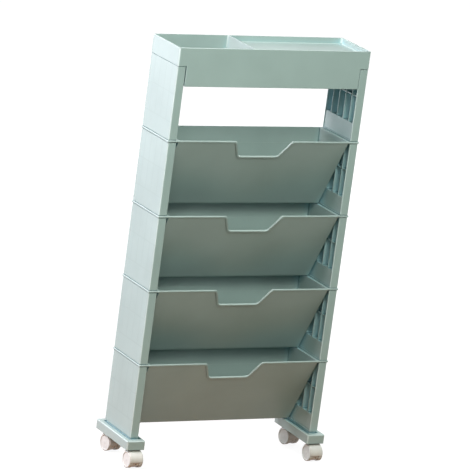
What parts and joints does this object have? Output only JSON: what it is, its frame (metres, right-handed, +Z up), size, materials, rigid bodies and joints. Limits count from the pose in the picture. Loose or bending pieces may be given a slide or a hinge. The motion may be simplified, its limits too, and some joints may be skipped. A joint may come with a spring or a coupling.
{
  "type": "rolling bookcase",
  "caption": "Narrow rolling bookcase: ribbed side panels, tilted book pockets with finger notches, a desk-height tray, and foot rails on swivel casters.",
  "frame": {"origin": "on the floor, at the middle of the whole outline; the front casters trail forwards, so the case's own middle lies 5.1 mm behind it", "axes": "+X to the right seen from the front, +Y to the back, +Z up"},
  "size_m": [0.418, 0.1442, 0.7949],
  "materials": {
    "case_plastic": "satin moulded, mint green",
    "caster_plastic": "satin moulded, warm white",
    "wheel_plastic": "satin nylon, warm white",
    "axle_steel": "plain",
    "stem_steel": "dark zinc"
  },
  "bodies": {
    "case": {"left_foot": "case_plastic", "right_foot": "case_plastic", "left_panel_1": "case_plastic", "left_panel_2": "case_plastic", "left_panel_3": "case_plastic", "left_panel_4": "case_plastic", "left_panel_5": "case_plastic", "right_panel_1": "case_plastic", "right_panel_2": "case_plastic", "right_panel_3": "case_plastic", "right_panel_4": "case_plastic", "right_panel_5": "case_plastic", "pocket_1": "case_plastic", "pocket_2": "case_plastic", "pocket_3": "case_plastic", "pocket_4": "case_plastic", "tray": "case_plastic", "front_left_stem": "stem_steel", "front_right_stem": "stem_steel", "rear_left_stem": "stem_steel", "rear_right_stem": "stem_steel"},
    "front_left_caster": {"front_left_hood": "caster_plastic", "front_left_axle": "axle_steel"},
    "front_left_left_wheel": {"front_left_left_wheel": "wheel_plastic"},
    "front_left_right_wheel": {"front_left_right_wheel": "wheel_plastic"},
    "front_right_caster": {"front_right_hood": "caster_plastic", "front_right_axle": "axle_steel"},
    "front_right_left_wheel": {"front_right_left_wheel": "wheel_plastic"},
    "front_right_right_wheel": {"front_right_right_wheel": "wheel_plastic"},
    "rear_left_caster": {"rear_left_hood": "caster_plastic", "rear_left_axle": "axle_steel"},
    "rear_left_left_wheel": {"rear_left_left_wheel": "wheel_plastic"},
    "rear_left_right_wheel": {"rear_left_right_wheel": "wheel_plastic"},
    "rear_right_caster": {"rear_right_hood": "caster_plastic", "rear_right_axle": "axle_steel"},
    "rear_right_left_wheel": {"rear_right_left_wheel": "wheel_plastic"},
    "rear_right_right_wheel": {"rear_right_right_wheel": "wheel_plastic"}
  },
  "joints": [
    {"name": "front_left_swivel", "type": "hinge", "parent": "case", "child": "front_left_caster", "pos_m": [-0.1904, -0.0439, 0.025], "axis": [0, 0, 1], "continuous": true},
    {"name": "front_left_left_roll", "type": "hinge", "parent": "front_left_caster", "child": "front_left_left_wheel", "pos_m": [-0.20055, -0.0549, 0.01575], "axis": [1, 0, 0], "continuous": true},
    {"name": "front_left_right_roll", "type": "hinge", "parent": "front_left_caster", "child": "front_left_right_wheel", "pos_m": [-0.18025, -0.0549, 0.01575], "axis": [1, 0, 0], "continuous": true},
    {"name": "front_right_swivel", "type": "hinge", "parent": "case", "child": "front_right_caster", "pos_m": [0.1904, -0.0439, 0.025], "axis": [0, 0, 1], "continuous": true},
    {"name": "front_right_left_roll", "type": "hinge", "parent": "front_right_caster", "child": "front_right_left_wheel", "pos_m": [0.18025, -0.0549, 0.01575], "axis": [1, 0, 0], "continuous": true},
    {"name": "front_right_right_roll", "type": "hinge", "parent": "front_right_caster", "child": "front_right_right_wheel", "pos_m": [0.20055, -0.0549, 0.01575], "axis": [1, 0, 0], "continuous": true},
    {"name": "rear_left_swivel", "type": "hinge", "parent": "case", "child": "rear_left_caster", "pos_m": [-0.1904, 0.0541, 0.025], "axis": [0, 0, 1], "continuous": true},
    {"name": "rear_left_left_roll", "type": "hinge", "parent": "rear_left_caster", "child": "rear_left_left_wheel", "pos_m": [-0.19892, 0.04179, 0.01575], "axis": [0.9903, 0.1392, 0], "continuous": true},
    {"name": "rear_left_right_roll", "type": "hinge", "parent": "rear_left_caster", "child": "rear_left_right_wheel", "pos_m": [-0.17882, 0.04462, 0.01575], "axis": [0.9903, 0.1392, 0], "continuous": true},
    {"name": "rear_right_swivel", "type": "hinge", "parent": "case", "child": "rear_right_caster", "pos_m": [0.1904, 0.0541, 0.025], "axis": [0, 0, 1], "continuous": true},
    {"name": "rear_right_left_roll", "type": "hinge", "parent": "rear_right_caster", "child": "rear_right_left_wheel", "pos_m": [0.18231, 0.04151, 0.01575], "axis": [0.9848, 0.1736, 0], "continuous": true},
    {"name": "rear_right_right_roll", "type": "hinge", "parent": "rear_right_caster", "child": "rear_right_right_wheel", "pos_m": [0.20231, 0.04503, 0.01575], "axis": [0.9848, 0.1736, 0], "continuous": true}
  ]
}
